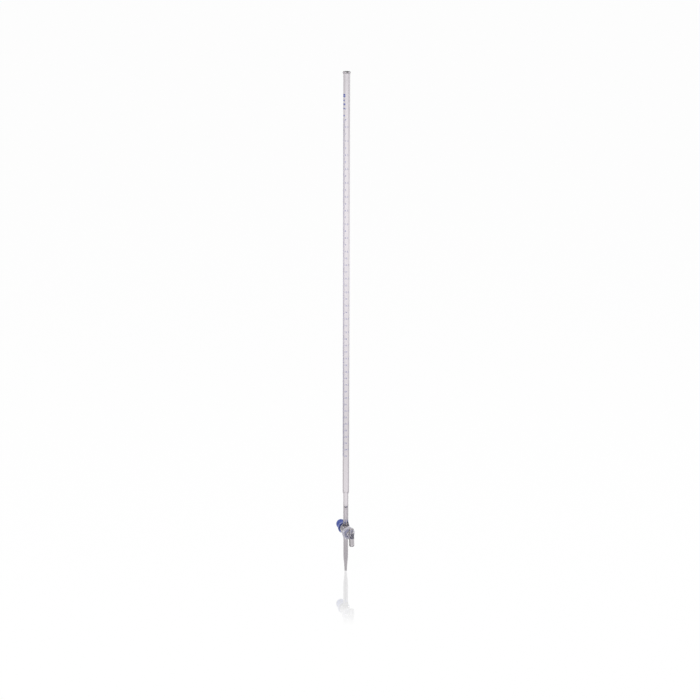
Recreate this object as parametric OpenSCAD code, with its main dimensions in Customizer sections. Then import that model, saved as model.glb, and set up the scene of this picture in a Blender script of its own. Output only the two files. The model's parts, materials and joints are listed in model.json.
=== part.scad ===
// Glass burette with a straight-bore stopcock, a ground glass key and a screw nut that holds it.
// Millimetres. The tube stands on the Z axis with the end of the jet at the origin.
// The key lies along Y: its handle faces -Y and its nut faces +Y.

/* [Measuring tube] */
// Volume that the scale measures, in millilitres
scale_volume = 25; // [10:1:50]
// Outside diameter of the measuring tube
tube_od = 10.6; // [9.4:0.1:14]
// Bore of the measuring tube
tube_bore = 7.7; // [6.6:0.1:9]
// Bare tube between the zero mark and the rim
head_length = 73; // [30:1:120]
// Bare tube between the last mark and the shoulder
foot_length = 61; // [20:1:120]
// Height of the shoulder that narrows the tube to the neck
shoulder_length = 6; // [4:0.5:20]
// How far the rim bead stands out from the tube
rim_bulge = 0.75; // [0.3:0.05:2]
// Height of the rim bead
rim_height = 3.4; // [2:0.1:6]
// Rounding of the mouth's inner edge
mouth_round = 0.7; // [0.2:0.1:0.8]

/* [Neck and inlet arm] */
// Outside diameter of the neck
neck_od = 8.3; // [7:0.1:10]
// Wall of the neck
neck_wall = 1.3; // [0.8:0.1:2]
// Length of the neck from the fused seam to the shoulder
neck_length = 20; // [8:1:60]
// Outside diameter of the capillary arm above the stopcock
arm_od = 8.2; // [7:0.1:10]
// Bore of the capillary arms
arm_bore = 2.5; // [1.5:0.1:4]
// Depth of the funnel where the neck's bore narrows to the capillary
funnel_depth = 4; // [1:0.5:12]
// Height of the fused seam above the key's axis
seam_height = 40; // [30:1:80]

/* [Jet] */
// Height of the key's axis above the end of the jet
jet_length = 70; // [56:1:120]
// Outside diameter of the jet's shank
jet_od = 7.6; // [6:0.1:10]
// Length of the drawn taper at the jet's end
jet_taper = 27; // [12:1:36]
// Outside diameter at the jet's end
tip_od = 4; // [2.8:0.1:5.5]
// Bore of the jet's end
tip_bore = 1.2; // [0.6:0.1:1.8]
// Length of the fine bore at the jet's end
tip_bore_length = 10; // [4:1:12]
// Rounding of the jet's end
tip_round = 0.5; // [0.1:0.1:0.7]

/* [Stopcock barrel] */
// Diameter of the ground taper where it crosses the tube's axis
plug_d = 12; // [10.5:0.1:15]
// Diameter lost per millimetre along the ground taper
plug_taper = 0.1; // [0.05:0.01:0.12]
// Barrel length from the tube's axis to its large end
barrel_front = 17.5; // [12:0.5:30]
// Barrel length from the tube's axis to its small end
barrel_back = 10.5; // [9:0.5:24]
// Wall of the barrel
barrel_wall = 2.3; // [1.6:0.1:4]
// How far the lip at the large end stands out
lip_bulge = 1.2; // [0.2:0.1:1.5]
// Width of the lip at the large end
lip_width = 3; // [1.5:0.1:5]
// Reach of the side stubs from the key's axis
stub_reach = 17; // [14:0.5:24]
// How far the side stubs flare out where they are fused to the barrel
stub_flare = 1.3; // [0.4:0.1:2.5]
// Gap between the ground faces of the plug and the barrel
ground_gap = 0.03; // [0.01:0.01:0.1]

/* [Key] */
// Turn of the key away from fully open
key_lean = 2; // [-45:1:45]
// Bore across the plug
plug_bore = 2.2; // [1:0.1:4]
// How far the plug's head stands out in front of the barrel
head_reach = 2; // [1.5:0.5:8]
// Rounding of the plug's head
head_round = 1.2; // [0.4:0.1:1.4]
// How far the plug's small end stays inside the barrel
plug_recess = 1; // [0.2:0.1:3]
// Diameter of the stem that carries the handle
stem_d = 8; // [5:0.1:11]
// Distance from the plug's head to the handle's centre line
stem_length = 14.5; // [8:0.5:20]
// Diameter of the handle bar
bar_d = 8.3; // [5:0.1:11]
// Length of the handle bar
bar_length = 30; // [24:0.5:60]
// How far the handle bar's middle hangs below the stem
bar_drop = 1; // [-4:0.5:4]
// Rounding of the handle bar's ends
bar_round = 1.6; // [0.5:0.1:2.5]

/* [Nut and seals] */
// Diameter of the key's threaded tail
tail_d = 8; // [6:0.1:9.5]
// Depth of the flat along the tail
flat_depth = 0.8; // [0.3:0.1:1.5]
// Gap between the tail and the pieces that slide over it
slip_gap = 0.1; // [0.05:0.01:0.3]
// Gap between the tail and the nut's bore
thread_gap = 0.15; // [0.05:0.01:0.3]
// Gap between faces that turn on each other
face_gap = 0.05; // [0.02:0.01:0.2]
// Thickness of the seal ring's section
seal_section = 2; // [1:0.1:3]
// Wall of the thrust collar outside the seal ring
collar_wall = 3.6; // [1.5:0.1:5]
// Floor of the thrust collar under the seal ring
collar_floor = 2.6; // [1:0.1:6]
// Rounding of the thrust collar's outer edge beside the barrel
collar_round = 0.6; // [0.3:0.1:1.4]
// Thickness of the slip washer
washer_thickness = 1.4; // [0.6:0.1:3]
// Width of the slip washer's ring
washer_width = 3.4; // [2.4:0.1:5]
// Wall of the nut at the root of its ribs
nut_wall = 3.1; // [2:0.1:6]
// Length of the nut
nut_length = 15; // [11:0.5:20]
// Rounding of the nut's outer edge
nut_round = 0.3; // [0.3:0.1:1.8]
// Number of grip ribs around the nut
rib_count = 24; // [8:1:36]
// Diameter of a grip rib
rib_d = 1; // [0.6:0.1:1.5]
// Plain edge left at both ends of a grip rib
rib_inset = 0.5; // [0.2:0.1:1.5]
// How far the tail's end stays inside the nut
tail_recess = 1; // [0.2:0.1:3]

/* [Hidden] */
$fn = 96;

glass = [0.86, 0.88, 0.92];
ground_glass = [0.78, 0.79, 0.84];
blue_plastic = [0.10, 0.25, 0.62];
white_plastic = [0.95, 0.95, 0.94];
black_rubber = [0.12, 0.12, 0.13];
curve_steps = 12;
cut_past = 1;

tube_r = tube_od / 2;
tube_bore_r = tube_bore / 2;
neck_r = neck_od / 2;
neck_bore_r = neck_r - neck_wall;
arm_r = arm_od / 2;
arm_bore_r = arm_bore / 2;
jet_r = jet_od / 2;
tip_r = tip_od / 2;
tip_bore_r = tip_bore / 2;

key_height = jet_length;
stub_top = key_height + stub_reach;
stub_foot = key_height - stub_reach;
seam_z = key_height + seam_height;
neck_top = seam_z + neck_length;
tube_foot = neck_top + shoulder_length;
last_mark = tube_foot + foot_length;
scale_length = 1000 * scale_volume / (PI * pow(tube_bore_r, 2));
zero_mark = last_mark + scale_length;
rim_top = zero_mark + head_length;

head_front = -barrel_front - head_reach;
head_shoulder = head_front + head_round;
plug_back = barrel_back - plug_recess;
bar_place = head_front - stem_length;
tail_r = tail_d / 2;
seal_r = tail_r + slip_gap + seal_section / 2;
seal_seat_r = seal_r + seal_section / 2 + slip_gap;
collar_r = seal_seat_r + collar_wall;
collar_front = barrel_back + face_gap;
seal_floor = collar_front + collar_floor;
collar_back = seal_floor + seal_section + face_gap;
washer_front = collar_back + face_gap;
washer_back = washer_front + washer_thickness;
nut_front = washer_back + face_gap;
nut_back = nut_front + nut_length;
nut_bore_r = tail_r + thread_gap;
nut_r = nut_bore_r + nut_wall;
tail_end = nut_back - tail_recess;

function plug_r(u) = (plug_d - plug_taper * u) / 2;
function socket_r(u) = plug_r(u) + ground_gap;
function barrel_r(u) = plug_r(u) + barrel_wall;

// A smooth step from one radius and height to another, level at both ends
function ease(r0, z0, r1, z1) = [
    for (i = [0 : curve_steps])
        [r0 + (r1 - r0) * (1 - cos(180 * i / curve_steps)) / 2, z0 + (z1 - z0) * i / curve_steps]
];

// Points of an ellipse's arc round a centre, from one angle to another
function arc(r, z, radius_r, radius_z, from, to) = [
    for (i = [0 : curve_steps])
        let (a = from + (to - from) * i / curve_steps)
        [r + radius_r * cos(a), z + radius_z * sin(a)]
];

// Carries a shape drawn along Z onto the key's axis, with +Z towards the nut
module on_key_axis() {
    translate([0, 0, key_height])
        rotate([-90, 0, 0])
            children();
}

// The same, turned with the key
module on_key() {
    on_key_axis()
        rotate([0, 0, -key_lean])
            children();
}

// The tail's section with its flat, grown by a gap, between two places along the key
module tail_shape(gap, from, to) {
    intersection() {
        translate([0, 0, from])
            cylinder(r = tail_r + gap, h = to - from);
        translate([-tail_d, -tail_d, from])
            cube([tail_d + tail_r - flat_depth + gap, 2 * tail_d, to - from]);
    }
}

module measuring_tube() {
    color(glass)
        rotate_extrude()
            polygon(concat(
                ease(neck_r, neck_top, tube_r, tube_foot),
                arc(tube_r, rim_top - rim_height / 2, rim_bulge, rim_height / 2, -90, 90),
                arc(
                    tube_bore_r + mouth_round, rim_top - mouth_round,
                    mouth_round, mouth_round, 90, 180
                ),
                ease(tube_bore_r, tube_foot, neck_bore_r, neck_top)
            ));
}

module neck_tube() {
    color(glass)
        difference() {
            translate([0, 0, seam_z])
                cylinder(r = neck_r, h = neck_length);
            translate([0, 0, seam_z - cut_past])
                cylinder(r = neck_bore_r, h = neck_length + 2 * cut_past);
        }
}

module inlet_arm() {
    color(glass)
        rotate_extrude()
            polygon(concat(
                [[arm_bore_r, stub_top], [arm_r, stub_top], [arm_r, seam_z]],
                ease(neck_bore_r, seam_z, arm_bore_r, seam_z - funnel_depth)
            ));
}

// A stub that flares from an arm's radius into the barrel's wall, drawn upwards from the key's axis
module side_stub(radius) {
    rotate_extrude()
        polygon(concat(
            [[0, 0], [radius + stub_flare, 0]],
            ease(radius + stub_flare, plug_r(0), radius, stub_reach),
            [[0, stub_reach]]
        ));
}

module stopcock_barrel() {
    color(ground_glass)
        difference() {
            union() {
                on_key_axis()
                    rotate_extrude()
                        polygon(concat(
                            [[0, -barrel_front]],
                            arc(
                                barrel_r(-barrel_front), -barrel_front + lip_width / 2,
                                lip_bulge, lip_width / 2, -90, 90
                            ),
                            [[barrel_r(barrel_back), barrel_back], [0, barrel_back]]
                        ));
                translate([0, 0, key_height])
                    side_stub(arm_r);
                translate([0, 0, key_height])
                    rotate([180, 0, 0])
                        side_stub(jet_r);
            }
            on_key_axis()
                translate([0, 0, -barrel_front - cut_past])
                    cylinder(
                        r1 = socket_r(-barrel_front - cut_past),
                        r2 = socket_r(barrel_back + cut_past),
                        h = barrel_front + barrel_back + 2 * cut_past
                    );
            translate([0, 0, stub_foot - cut_past])
                cylinder(r = arm_bore_r, h = 2 * (stub_reach + cut_past));
        }
}

module jet_tip() {
    color(glass)
        rotate_extrude()
            polygon(concat(
                [[tip_bore_r, 0]],
                arc(tip_r - tip_round, tip_round, tip_round, tip_round, -90, 0),
                ease(tip_r, tip_round, jet_r, jet_taper),
                [[jet_r, stub_foot], [arm_bore_r, stub_foot]],
                ease(arm_bore_r, jet_taper, tip_bore_r, tip_bore_length)
            ));
}

module key_plug() {
    color(ground_glass)
        on_key()
            difference() {
                union() {
                    rotate_extrude()
                        polygon(concat(
                            [[0, head_front]],
                            arc(
                                plug_r(head_shoulder) - head_round, head_shoulder,
                                head_round, head_round, -90, 0
                            ),
                            [[plug_r(plug_back), plug_back], [0, plug_back]]
                        ));
                    tail_shape(0, plug_back - cut_past, tail_end);
                }
                rotate([90, 0, 0])
                    cylinder(d = plug_bore, h = 2 * plug_d, center = true);
            }
}

module key_handle() {
    color(glass)
        on_key() {
            translate([0, 0, bar_place])
                cylinder(d = stem_d, h = stem_length);
            translate([0, bar_drop, bar_place])
                rotate([90, 0, 0])
                    rotate_extrude()
                        polygon(concat(
                            [[0, -bar_length / 2]],
                            arc(
                                bar_d / 2 - bar_round, bar_round - bar_length / 2,
                                bar_round, bar_round, -90, 0
                            ),
                            arc(
                                bar_d / 2 - bar_round, bar_length / 2 - bar_round,
                                bar_round, bar_round, 0, 90
                            ),
                            [[0, bar_length / 2]]
                        ));
        }
}

module thrust_collar() {
    color(blue_plastic)
        on_key()
            difference() {
                rotate_extrude()
                    polygon(concat(
                        [[0, collar_front]],
                        arc(
                            collar_r - collar_round, collar_front + collar_round,
                            collar_round, collar_round, -90, 0
                        ),
                        [[collar_r, collar_back], [0, collar_back]]
                    ));
                tail_shape(slip_gap, collar_front - cut_past, collar_back + cut_past);
                translate([0, 0, seal_floor])
                    cylinder(r = seal_seat_r, h = collar_back);
            }
}

module seal_ring() {
    color(black_rubber)
        on_key()
            translate([0, 0, seal_floor + seal_section / 2])
                rotate_extrude()
                    translate([seal_r, 0])
                        circle(d = seal_section, $fn = 32);
}

module slip_washer() {
    color(white_plastic)
        on_key()
            difference() {
                translate([0, 0, washer_front])
                    cylinder(r = tail_r + slip_gap + washer_width, h = washer_thickness);
                tail_shape(slip_gap, washer_front - cut_past, washer_back + cut_past);
            }
}

module retaining_nut() {
    color(blue_plastic)
        on_key()
            difference() {
                union() {
                    rotate_extrude()
                        polygon(concat(
                            [[0, nut_front], [nut_r, nut_front]],
                            arc(nut_r - nut_round, nut_back - nut_round, nut_round, nut_round, 0, 90),
                            [[0, nut_back]]
                        ));
                    for (i = [0 : rib_count - 1])
                        rotate([0, 0, 360 * i / rib_count])
                            translate([nut_r, 0, nut_front + rib_inset])
                                cylinder(d = rib_d, h = nut_length - nut_round - 2 * rib_inset);
                }
                translate([0, 0, nut_front - cut_past])
                    cylinder(r = nut_bore_r, h = nut_length + 2 * cut_past);
            }
}

measuring_tube();
neck_tube();
inlet_arm();
stopcock_barrel();
jet_tip();
key_plug();
key_handle();
thrust_collar();
seal_ring();
slip_washer();
retaining_nut();
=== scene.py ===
import json
import math

import bmesh
import bpy
from mathutils import Matrix, Vector


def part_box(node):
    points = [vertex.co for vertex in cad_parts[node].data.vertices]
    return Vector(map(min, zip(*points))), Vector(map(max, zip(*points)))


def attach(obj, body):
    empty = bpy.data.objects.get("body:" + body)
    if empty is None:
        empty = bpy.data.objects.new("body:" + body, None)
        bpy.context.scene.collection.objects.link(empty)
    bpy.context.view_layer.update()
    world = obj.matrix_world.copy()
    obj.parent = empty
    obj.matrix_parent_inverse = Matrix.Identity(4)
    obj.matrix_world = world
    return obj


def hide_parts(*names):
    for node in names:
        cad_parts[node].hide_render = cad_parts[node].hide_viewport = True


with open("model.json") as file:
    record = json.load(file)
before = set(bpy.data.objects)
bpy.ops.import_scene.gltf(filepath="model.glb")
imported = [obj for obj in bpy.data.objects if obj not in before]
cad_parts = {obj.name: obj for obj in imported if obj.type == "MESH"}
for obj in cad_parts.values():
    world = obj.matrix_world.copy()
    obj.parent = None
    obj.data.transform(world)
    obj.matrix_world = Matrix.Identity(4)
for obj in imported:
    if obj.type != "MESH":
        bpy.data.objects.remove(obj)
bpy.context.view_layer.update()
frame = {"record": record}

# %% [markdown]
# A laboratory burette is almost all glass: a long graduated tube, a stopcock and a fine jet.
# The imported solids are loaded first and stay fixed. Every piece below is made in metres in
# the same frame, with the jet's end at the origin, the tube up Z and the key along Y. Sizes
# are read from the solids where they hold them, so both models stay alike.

MM = 0.001
record = frame["record"]
mounts = {mount["name"]: mount["dims"] for mount in record["mounts"]}
tube_r = mounts["clamp_zone"]["r_mm"] * MM
bore_r = mounts["mouth"]["r_mm"] * MM
tip_bore_r = mounts["jet_bore"]["r_mm"] * MM
jet_r = mounts["jet_shank"]["r_mm"] * MM
rim_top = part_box("measuring_tube")[1].z
key_z = record["behaviour"]["joints"][0]["pos_m"][2]
thread_lead = 2 * math.pi / record["behaviour"]["couplings"][0]["ratio"]
print(f"tube {tube_r / MM:.2f} mm radius, {rim_top / MM:.1f} mm tall")
print(f"thread lead {thread_lead / MM:.2f} mm")

# %% [markdown]
# The photograph was taken from a little above the tube's middle, slightly to the left of the
# handle, with a fairly long lens. The camera is set by distance, height, tilt and focal
# length in pixels, because those are what the scale's known marks gave when they were fitted.

# %% Camera
FRAME_PX = 700
FOCAL_PX = 1702.0
FILM_WIDTH = 36
VIEW_SIDE = math.radians(-16)
VIEW_DISTANCE = 2.6
VIEW_HEIGHT = 1.0421
VIEW_TILT = math.radians(14.47)
VIEW_ROLL = math.radians(0.155)
VIEW_OFFSET = 6.1 * MM

towards = Vector((math.sin(VIEW_SIDE), -math.cos(VIEW_SIDE), 0))
rightwards = Vector((math.cos(VIEW_SIDE), math.sin(VIEW_SIDE), 0))
sight = -towards * math.cos(VIEW_TILT) - Vector((0, 0, math.sin(VIEW_TILT)))
upwards = rightwards.cross(sight)
aim = Matrix((rightwards, upwards, -sight)).transposed().to_4x4()
aim.translation = towards * VIEW_DISTANCE + rightwards * VIEW_OFFSET + Vector((0, 0, VIEW_HEIGHT))

camera_data = bpy.data.cameras.new("photo_camera")
camera_data.sensor_width = FILM_WIDTH
camera_data.lens = FILM_WIDTH * FOCAL_PX / FRAME_PX
camera = bpy.data.objects.new("photo_camera", camera_data)
camera.matrix_world = aim @ Matrix.Rotation(VIEW_ROLL, 4, "Z")
bpy.context.scene.collection.objects.link(camera)
bpy.context.scene.camera = camera
bpy.context.scene.view_settings.view_transform = "Standard"
print(f"camera {camera_data.lens:.1f} mm lens, {VIEW_DISTANCE} m away")

# %% [markdown]
# Clear glass is lit in bright field: it shows whatever is behind it, so a white room gives a
# clear middle, and grey cards round it draw its edges. The world is white to the camera, to
# reflections and to light that passes through glass, while everything else is lit at a plain
# level, so that a colour renders about as it is written.

# %% World
ROOM_LIGHT = 0.62


def seen_directly(tree):
    """One where a ray comes from the camera, a reflection or a pane of glass, else zero."""
    path = tree.nodes.new("ShaderNodeLightPath")
    total = path.outputs["Is Camera Ray"]
    for kind in ("Is Glossy Ray", "Is Transmission Ray"):
        add = tree.nodes.new("ShaderNodeMath")
        add.use_clamp = True
        tree.links.new(total, add.inputs[0])
        tree.links.new(path.outputs[kind], add.inputs[1])
        total = add.outputs[0]
    return total


world = bpy.data.worlds.new("white_room")
world.use_nodes = True
bpy.context.scene.world = world
room = world.node_tree
room.nodes.clear()
room_light = room.nodes.new("ShaderNodeBackground")
room_light.inputs["Strength"].default_value = ROOM_LIGHT
room_white = room.nodes.new("ShaderNodeBackground")
for background in (room_light, room_white):
    background.inputs["Color"].default_value = (1, 1, 1, 1)
room_mix = room.nodes.new("ShaderNodeMixShader")
room.links.new(seen_directly(room), room_mix.inputs[0])
room.links.new(room_light.outputs[0], room_mix.inputs[1])
room.links.new(room_white.outputs[0], room_mix.inputs[2])
room.links.new(room_mix.outputs[0], room.nodes.new("ShaderNodeOutputWorld").inputs["Surface"])
print(f"world white, lighting at {ROOM_LIGHT}")

# %% [markdown]
# Every finish below is a tree of nodes. Three helpers start a tree, link it and put sums into
# it, so that each material reads as a list of what feeds what.

# %% Helpers for node trees
def new_material(name):
    material = bpy.data.materials.new(name)
    material.use_nodes = True
    material.node_tree.nodes.clear()
    return material, material.node_tree


def link_all(tree, *pairs):
    for source, target in pairs:
        tree.links.new(source, target)


def math_node(tree, operation, first, second):
    """One sum in a node tree. Each side is a number or another node's output."""
    node = tree.nodes.new("ShaderNodeMath")
    node.operation = operation
    for value, socket in ((first, node.inputs[0]), (second, node.inputs[1])):
        if isinstance(value, (int, float)):
            socket.default_value = value
        else:
            tree.links.new(value, socket)
    return node.outputs[0]


print("materials start from", len(bpy.data.materials), "finishes of the solids")

# %% [markdown]
# The floor is a polished white sheet. Near the jet it mirrors the stopcock faintly, and the
# mirror image fades out within a hand's width, so a Map Range node turns the distance from
# the jet into the mirror's share. A small share of real shading keeps the shadow.

# %% Finish of the floor
FLOOR_PAINT = (0.93, 0.93, 0.93, 1)
FLOOR_LIFT = 0.96
MIRROR_SHARE = 0.32
MIRROR_BLUR = 0.04
MIRROR_FULL = 120 * MM
MIRROR_GONE = 220 * MM

white_floor, tree = new_material("white_floor")
matt = tree.nodes.new("ShaderNodeBsdfDiffuse")
matt.inputs["Color"].default_value = FLOOR_PAINT
glow = tree.nodes.new("ShaderNodeEmission")
pale = tree.nodes.new("ShaderNodeMixShader")
mirror = tree.nodes.new("ShaderNodeBsdfGlossy")
mirror.inputs["Color"].default_value = (1, 1, 1, 1)
mirror.inputs["Roughness"].default_value = MIRROR_BLUR
place = tree.nodes.new("ShaderNodeTexCoord")
away = tree.nodes.new("ShaderNodeVectorMath")
away.operation = "LENGTH"
fade = tree.nodes.new("ShaderNodeMapRange")
fade.inputs["From Min"].default_value = MIRROR_GONE
fade.inputs["From Max"].default_value = MIRROR_FULL
fade.inputs["To Max"].default_value = MIRROR_SHARE
polish = tree.nodes.new("ShaderNodeMixShader")
link_all(
    tree,
    (math_node(tree, "MULTIPLY", seen_directly(tree), FLOOR_LIFT), pale.inputs[0]),
    (matt.outputs[0], pale.inputs[1]),
    (glow.outputs[0], pale.inputs[2]),
    (place.outputs["Object"], away.inputs[0]),
    (away.outputs["Value"], fade.inputs["Value"]),
    (fade.outputs["Result"], polish.inputs[0]),
    (pale.outputs[0], polish.inputs[1]),
    (mirror.outputs[0], polish.inputs[2]),
    (polish.outputs[0], tree.nodes.new("ShaderNodeOutputMaterial").inputs["Surface"]),
)
print(white_floor.name, "has a mirror that fades out by", round(MIRROR_GONE, 3), "m")

# %% [markdown]
# The sheet itself is one large face, a hair below the jet. It is marked as stage, because it
# isn't part of the burette.

# %% Floor
FLOOR_HALF = 30
FLOOR_GAP = 0.2 * MM


def add_object(name, data):
    made = bpy.data.objects.new(name, data)
    bpy.context.scene.collection.objects.link(made)
    return made


def rectangle(across, along):
    """The four corners of a rectangle, as pairs, from its limits both ways."""
    (left, right), (near, far) = across, along
    return (left, near), (right, near), (right, far), (left, far)


floor_data = bpy.data.meshes.new("floor")
floor_corners = rectangle((-FLOOR_HALF, FLOOR_HALF), (-FLOOR_HALF, FLOOR_HALF))
floor_data.from_pydata([(x, y, 0) for x, y in floor_corners], [], [range(4)])
floor_data.materials.append(white_floor)
floor = add_object("floor", floor_data)
floor.location.z = -FLOOR_GAP
print("floor", 2 * FLOOR_HALF, "m wide")

# %% [markdown]
# Flags are the grey cards that a photographer sets round glassware. Only light from inside
# the glass meets these: to the camera, in shadows and in the floor's mirror all stays white.
# Their paper glows in a fixed grey, so the glass shows just the tone that is written here.

# %% Paper for the flags
PAPER_TINT = (1, 0.955, 0.985)


def tinted(tone):
    """A grey with a faint lavender cast."""
    return (*(tone * part for part in PAPER_TINT), 1)


def glowing_paper(name):
    material, tree = new_material(name)
    glow = tree.nodes.new("ShaderNodeEmission")
    tree.links.new(glow.outputs[0], tree.nodes.new("ShaderNodeOutputMaterial").inputs["Surface"])
    return material, tree, glow.inputs["Color"]


def even_paper(name, tone):
    material, tree, color = glowing_paper(name)
    color.default_value = tinted(tone)
    return material


def graded_paper(name, tones, measure):
    """Paper whose tone follows its height, or its distance from the jet, in metres."""
    material, tree, color = glowing_paper(name)
    place = tree.nodes.new("ShaderNodeTexCoord")
    away = tree.nodes.new("ShaderNodeVectorMath")
    away.operation = "DOT_PRODUCT" if measure == "HEIGHT" else "LENGTH"
    away.inputs[1].default_value = (0, 0, 1)
    furthest = tones[-1][0]
    ramp = tree.nodes.new("ShaderNodeValToRGB")
    stops = ramp.color_ramp.elements
    for index, (distance, tone) in enumerate(tones):
        stop = stops[index] if index < 2 else stops.new(distance / furthest)
        stop.position = distance / furthest
        stop.color = tinted(tone)
    link_all(
        tree,
        (place.outputs["Object"], away.inputs[0]),
        (math_node(tree, "DIVIDE", away.outputs["Value"], furthest), ramp.inputs["Fac"]),
        (ramp.outputs["Color"], color),
    )
    return material


def add_flag(name, corners, material, faces=None):
    data = bpy.data.meshes.new(name)
    data.from_pydata(corners, [], faces or [range(len(corners))])
    data.materials.append(material)
    flag = add_object(name, data)
    flag.visible_camera = False
    flag.visible_diffuse = False
    flag.visible_glossy = False
    flag.visible_shadow = False


print("flag paper has the cast", PAPER_TINT)

# %% [markdown]
# Two curved flags stand close behind the glass, left and right of what shows through its
# middle, and draw its edges. They stand further apart at the foot. One round flag lies on the
# floor, so that the thick jet and arm come out greyer than the tube. A grey ceiling keeps the
# plug's face and the end of the bar from shining.

# %% Side flags, floor flag and ceiling
FLAG_REACH = 60 * MM
FLAG_TOP = 0.86
FLAG_INNER = (24, 7)
FLAG_OUTER = 70
FLAG_STEPS = 10
SIDE_TONES = ((0, 0.5), (0.2, 0.52), (0.36, 0.7), (0.5, 0.82), (0.64, 0.76), (0.78, 0.62))
FLOOR_FLAG_R = 25.0
FLOOR_TONES = (
    (0, 0.44), (0.12, 0.5), (0.28, 0.78), (0.4, 0.8), (0.7, 0.74),
    (1.4, 0.85), (3, 0.92), (6, 0.9), (9, 0.74), (FLOOR_FLAG_R, 0.74),
)
CEILING_TONE = 0.3
CEILING_R = 4.5
CEILING_HEIGHT = 1.6
ROUND_SIDES = 16


def behind(aside, depth, height):
    """A point given as the camera sees it: to the right, away from it and up."""
    return rightwards * aside - towards * depth + Vector((0, 0, height))


def round_card(radius, height):
    turns = [2 * math.pi * step / ROUND_SIDES for step in range(ROUND_SIDES)]
    return [Vector((radius * math.cos(turn), radius * math.sin(turn), height)) for turn in turns]


side_paper = graded_paper("side_paper", SIDE_TONES, "HEIGHT")
strips = [(2 * step, 2 * step + 2, 2 * step + 3, 2 * step + 1) for step in range(FLAG_STEPS)]
for side, name in ((-1, "left_flag"), (1, "right_flag")):
    corners = []
    for step in range(FLAG_STEPS + 1):
        for height, inner in zip((0, FLAG_TOP), FLAG_INNER):
            turn = math.radians(inner + (FLAG_OUTER - inner) * step / FLAG_STEPS)
            aside = side * FLAG_REACH * math.sin(turn)
            corners.append(behind(aside, FLAG_REACH * math.cos(turn), height))
    add_flag(name, corners, side_paper, strips)
floor_paper = graded_paper("floor_paper", FLOOR_TONES, "DISTANCE")
add_flag("floor_flag", round_card(FLOOR_FLAG_R, 0), floor_paper)
ceiling_paper = even_paper("ceiling_paper", CEILING_TONE)
add_flag("ceiling_flag", round_card(CEILING_R, CEILING_HEIGHT), ceiling_paper)
print("side flags", round(FLAG_REACH / MM), "mm behind the glass")

# %% [markdown]
# The mouth and the handle need a darker surround. A grey card stands behind the rim, a narrow
# dark one slopes away below the line of sight through the mouth, and a third stands to the
# right of the key.

# %% Cards for the mouth and the key
CARD_REACH = 1.2
SKY_TONE = 0.45
SKY_BELOW_RIM = 3 * MM
SKY_ABOVE_RIM = 0.3
MOUTH_TONE = 0.03
MOUTH_SIDES = (-3 * MM, 9 * MM)
MOUTH_GAP = 7 * MM
MOUTH_DROP = 14 * MM
KEY_TONE = 0.1
KEY_GAP = 22 * MM
KEY_DEPTH = -3 * MM
KEY_CARD_HEIGHTS = (0.03, 0.1)

sky_heights = (rim_top - SKY_BELOW_RIM, rim_top + SKY_ABOVE_RIM)
sky = [behind(x, FLAG_REACH / 2, z) for x, z in rectangle((-FLAG_REACH, FLAG_REACH), sky_heights)]
add_flag("sky_flag", sky, even_paper("sky_paper", SKY_TONE))

mouth_foot = rim_top - MOUTH_DROP
mouth_slope = (VIEW_HEIGHT - mouth_foot) / VIEW_DISTANCE
mouth = []
for aside, depth in rectangle(MOUTH_SIDES, (MOUTH_GAP, CARD_REACH)):
    mouth.append(behind(aside, depth, mouth_foot - depth * mouth_slope))
add_flag("mouth_flag", mouth, even_paper("mouth_paper", MOUTH_TONE))

beside_key = rectangle((KEY_GAP, CARD_REACH), KEY_CARD_HEIGHTS)
key_corners = [behind(aside, KEY_DEPTH, height) for aside, height in beside_key]
add_flag("key_flag", key_corners, even_paper("key_paper", KEY_TONE))
print("cards", CARD_REACH, "m long at the mouth and the key")

# %% [markdown]
# Three softboxes light the plastic and the print: a large one overhead and one on each side.
# They are weak, because the white room does most of the work. Light from inside the glass
# doesn't meet them, or each would show through the tube as a bright window.

# %% Lamps
LAMP_TARGET = Vector((0, 0, 0.35))
LAMPS = (
    ("overhead_softbox", (-0.5, -0.9, 2.3), 1.6, 18),
    ("left_softbox", (-1.4, -1.05, 1.75), 1.0, 12),
    ("right_softbox", (1.8, -0.6, 1.0), 1.0, 6),
)
for name, spot, width, watts in LAMPS:
    lamp_data = bpy.data.lights.new(name, "AREA")
    lamp_data.size = width
    lamp_data.energy = watts
    lamp = add_object(name, lamp_data)
    lamp.location = spot
    lamp.rotation_euler = (LAMP_TARGET - Vector(spot)).to_track_quat("-Z", "Y").to_euler()
    lamp.visible_transmission = False
print(len(LAMPS), "softboxes")

# %% [markdown]
# An effect that more than one finish uses is a shader group, which is built once and placed in
# each material with its own values. These helpers make a group with named inputs and outputs,
# and the noise and mixing that both groups below are made of.

# %% Helpers for shader groups
FLOAT = "NodeSocketFloat"
COLOR = "NodeSocketColor"
VECTOR = "NodeSocketVector"
NOISE_LOW = 0.3
NOISE_HIGH = 0.7


def new_group(name, inputs, outputs):
    group = bpy.data.node_groups.new(name, "ShaderNodeTree")
    for label, kind, value in inputs:
        group.interface.new_socket(label, in_out="INPUT", socket_type=kind).default_value = value
    for label, kind in outputs:
        group.interface.new_socket(label, in_out="OUTPUT", socket_type=kind)
    given = group.nodes.new("NodeGroupInput").outputs
    return group, given, group.nodes.new("NodeGroupOutput").inputs


def noise(tree, vector, scale, detail):
    texture = tree.nodes.new("ShaderNodeTexNoise")
    texture.inputs["Detail"].default_value = detail
    tree.links.new(vector, texture.inputs["Vector"])
    if isinstance(scale, (int, float)):
        texture.inputs["Scale"].default_value = scale
    else:
        tree.links.new(scale, texture.inputs["Scale"])
    return texture.outputs["Fac"]


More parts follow.
